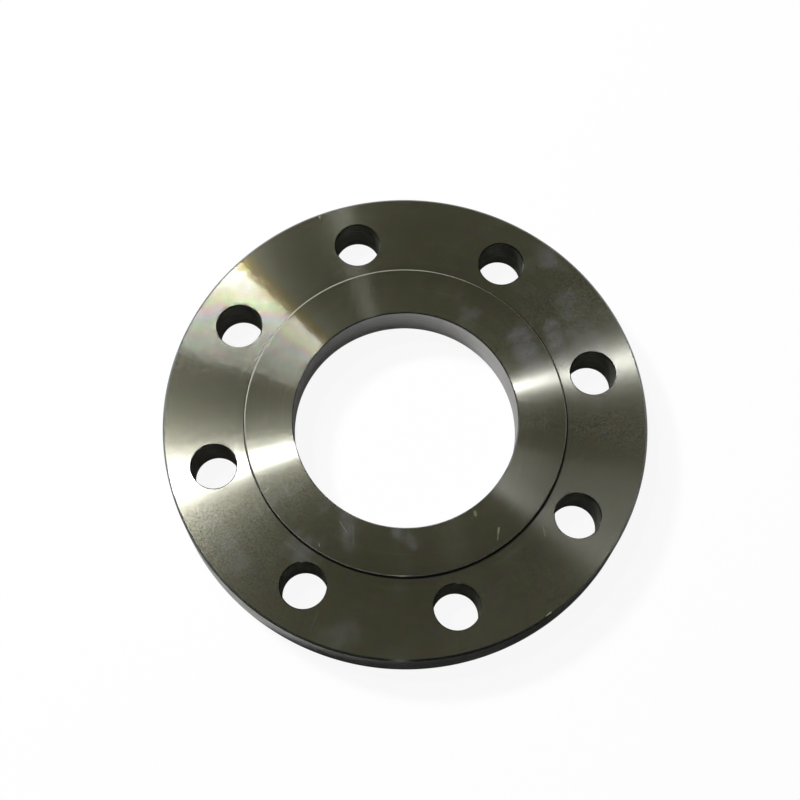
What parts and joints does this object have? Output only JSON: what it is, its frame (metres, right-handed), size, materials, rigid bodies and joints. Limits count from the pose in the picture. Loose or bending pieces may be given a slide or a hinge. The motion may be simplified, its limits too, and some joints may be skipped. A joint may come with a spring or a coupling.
{
  "type": "raised-face plate flange",
  "caption": "Round steel flange with a low raised gasket face, a plain bore with a weld bevel at the back, and a ring of bolt holes.",
  "frame": {"origin": "centre of the back face, on the bore's axis", "axes": "+Z along the bore's axis, from the back face towards the raised face; the X and Y axes pass midway between bolt holes"},
  "size_m": [0.235, 0.235, 0.026],
  "materials": {
    "turned_steel": "bare turned steel with fine concentric tool marks"
  },
  "bodies": {
    "root": {"flange": "turned_steel"}
  },
  "joints": []
}
